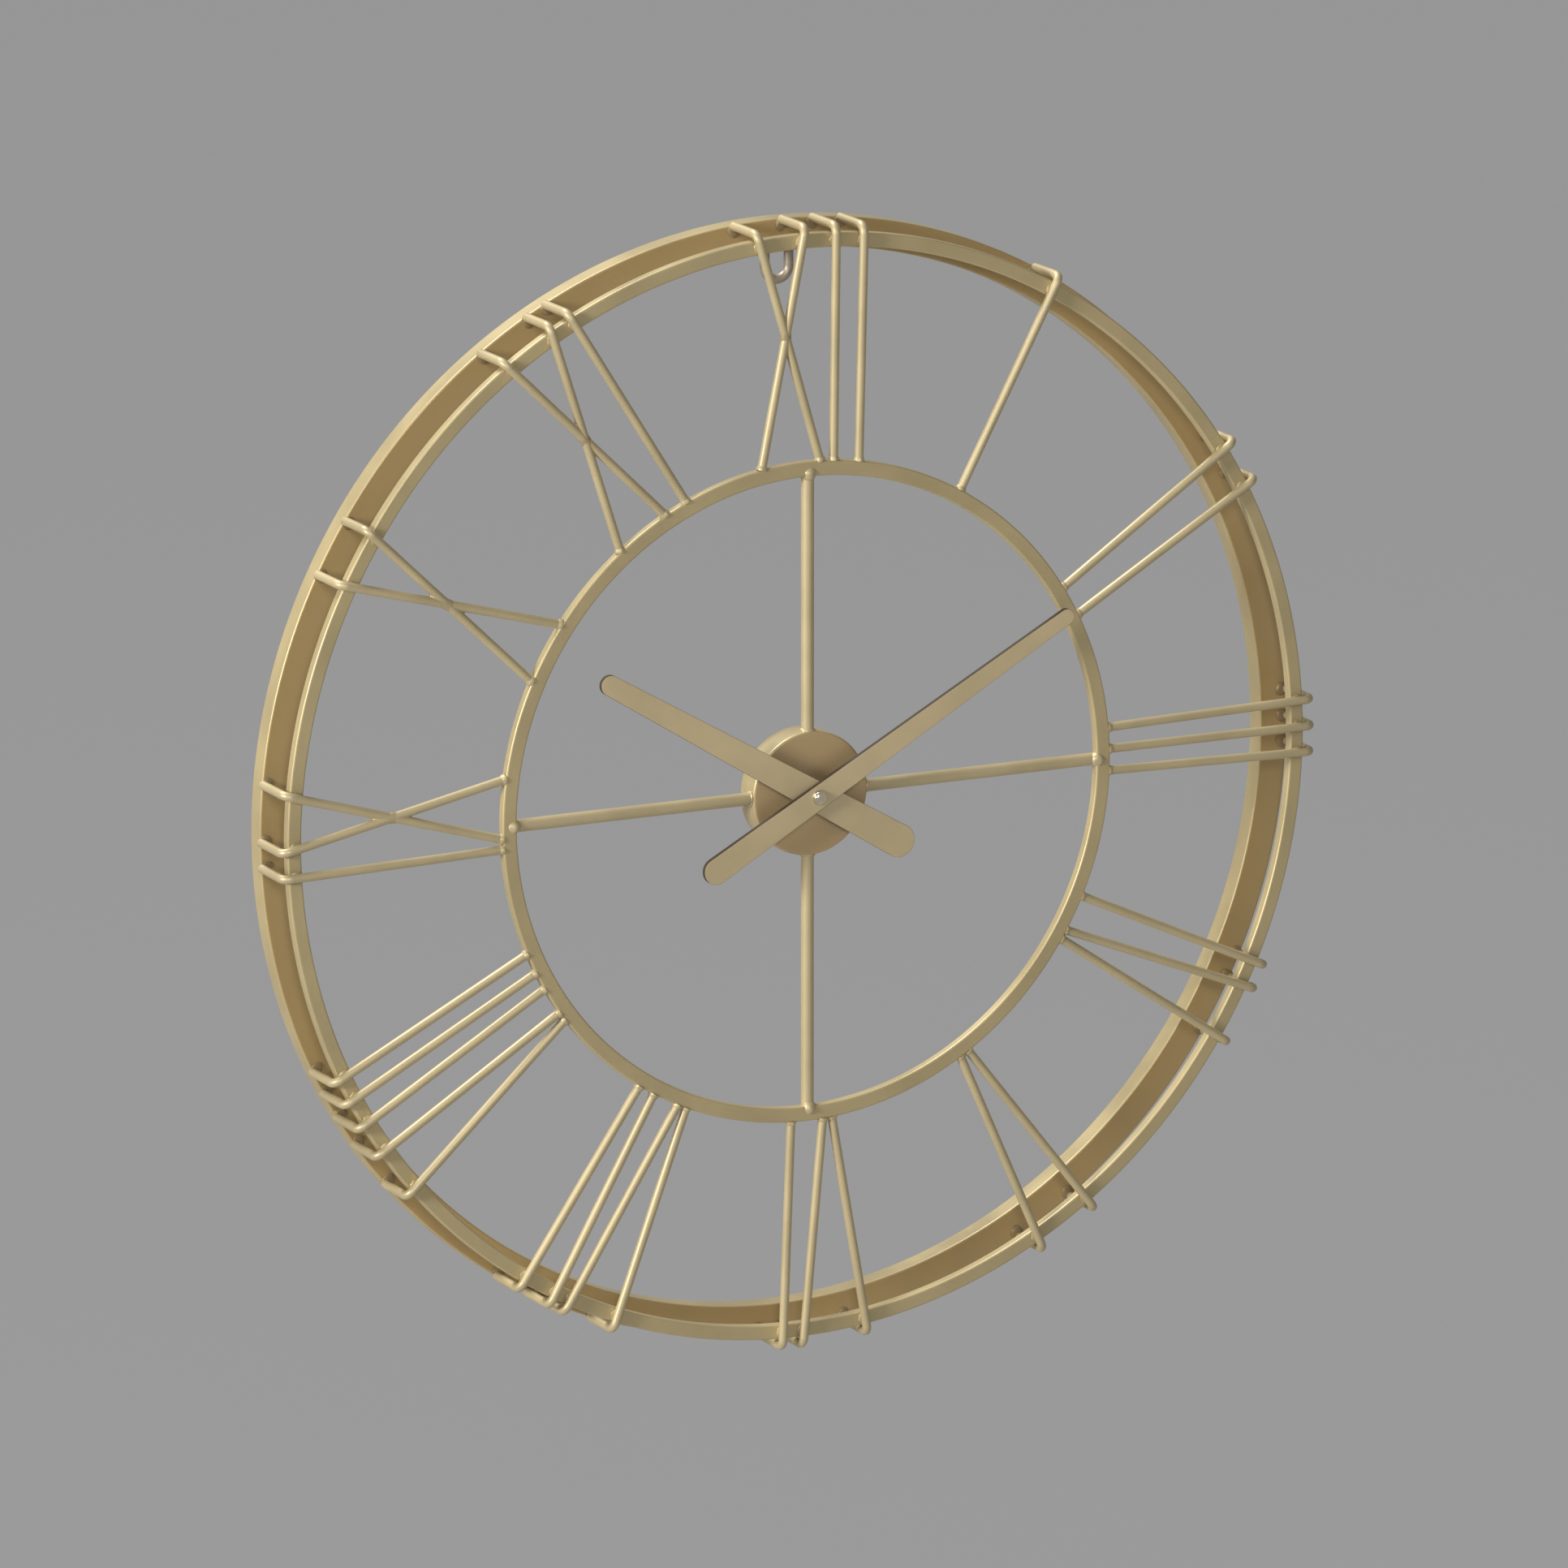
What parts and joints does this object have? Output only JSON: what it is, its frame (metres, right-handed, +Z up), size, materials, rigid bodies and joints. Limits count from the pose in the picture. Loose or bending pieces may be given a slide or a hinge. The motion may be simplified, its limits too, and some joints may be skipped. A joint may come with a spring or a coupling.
{
  "type": "wall clock",
  "caption": "Open-frame wall clock: concentric metal rings joined by bent round bars that form Roman numerals, with spokes, a central can for a quartz movement, and tapered folded hands",
  "frame": {"origin": "on the axis of the hands, in the plane of the wall", "axes": "X to the right seen from the front, Y into the wall, Z up"},
  "size_m": [0.7, 0.065, 0.7],
  "materials": {
    "back_ring_paint": "champagne gold paint, satin",
    "gold_paint": "champagne gold paint, satin",
    "can_paint": "champagne gold paint, satin",
    "hand_paint": "champagne gold paint on sheet, satin",
    "nut_metal": "polished plating, pale gold",
    "hanger_wire": "bare drawn wire",
    "case_plastic": "black moulding with fine grain",
    "rubber": "black sheet rubber",
    "brass": "turned and stamped brass",
    "steel": "bright rolled and turned steel",
    "coil_former": "natural moulding",
    "copper_wire": "enamelled copper wire, wound",
    "board": "green board",
    "battery_jacket": "plain printed jacket, gloss",
    "wheel_plastic": "white acetal moulding"
  },
  "bodies": {
    "frame": {"back_ring": "back_ring_paint", "front_ring": "gold_paint", "inner_ring": "gold_paint", "numeral_1": "gold_paint", "numeral_2": "gold_paint", "numeral_3": "gold_paint", "numeral_4": "gold_paint", "numeral_5": "gold_paint", "numeral_6": "gold_paint", "numeral_7": "gold_paint", "numeral_8": "gold_paint", "numeral_9": "gold_paint", "numeral_10": "gold_paint", "numeral_11": "gold_paint", "numeral_12": "gold_paint", "spoke_top": "gold_paint", "spoke_right": "gold_paint", "spoke_bottom": "gold_paint", "spoke_left": "gold_paint", "hub_can": "can_paint", "hanger_loop": "hanger_wire", "case_front": "case_plastic", "case_back": "case_plastic", "threaded_bush": "brass", "rubber_washer": "rubber", "fixing_nut": "brass", "stator": "steel", "coil_bobbin": "coil_former", "coil_winding": "copper_wire", "circuit_board": "board", "battery": "battery_jacket", "contact_positive": "steel", "contact_negative": "steel", "rotor": "wheel_plastic", "intermediate_wheel": "wheel_plastic", "seconds_wheel": "wheel_plastic", "third_wheel": "brass", "centre_wheel": "brass"},
    "minute": {"minute_arbor": "steel", "minute_hand": "hand_paint", "cap_nut": "nut_metal"},
    "hour": {"hour_wheel": "wheel_plastic", "hour_hand": "hand_paint"},
    "minute_wheel": {"minute_wheel": "wheel_plastic"},
    "set_knob": {"set_knob": "wheel_plastic"}
  },
  "joints": [
    {"name": "minute_turn", "type": "hinge", "parent": "frame", "child": "minute", "pos_m": [0, 0, 0], "axis": [0, 1, 0], "continuous": true},
    {"name": "hour_turn", "type": "hinge", "parent": "frame", "child": "hour", "pos_m": [0, 0, 0], "axis": [0, 1, 0], "continuous": true},
    {"name": "minute_wheel_turn", "type": "hinge", "parent": "frame", "child": "minute_wheel", "pos_m": [0, -0.044, -0.008], "axis": [0, 1, 0], "continuous": true},
    {"name": "set_knob_turn", "type": "hinge", "parent": "frame", "child": "set_knob", "pos_m": [0, -0.044, -0.0164], "axis": [0, 1, 0], "continuous": true}
  ],
  "couplings": [
    {"joint": "hour_turn", "follows": "minute_turn", "ratio": 0.083333},
    {"joint": "minute_wheel_turn", "follows": "minute_turn", "ratio": -0.33333},
    {"joint": "set_knob_turn", "follows": "minute_turn", "ratio": 0.83333}
  ]
}
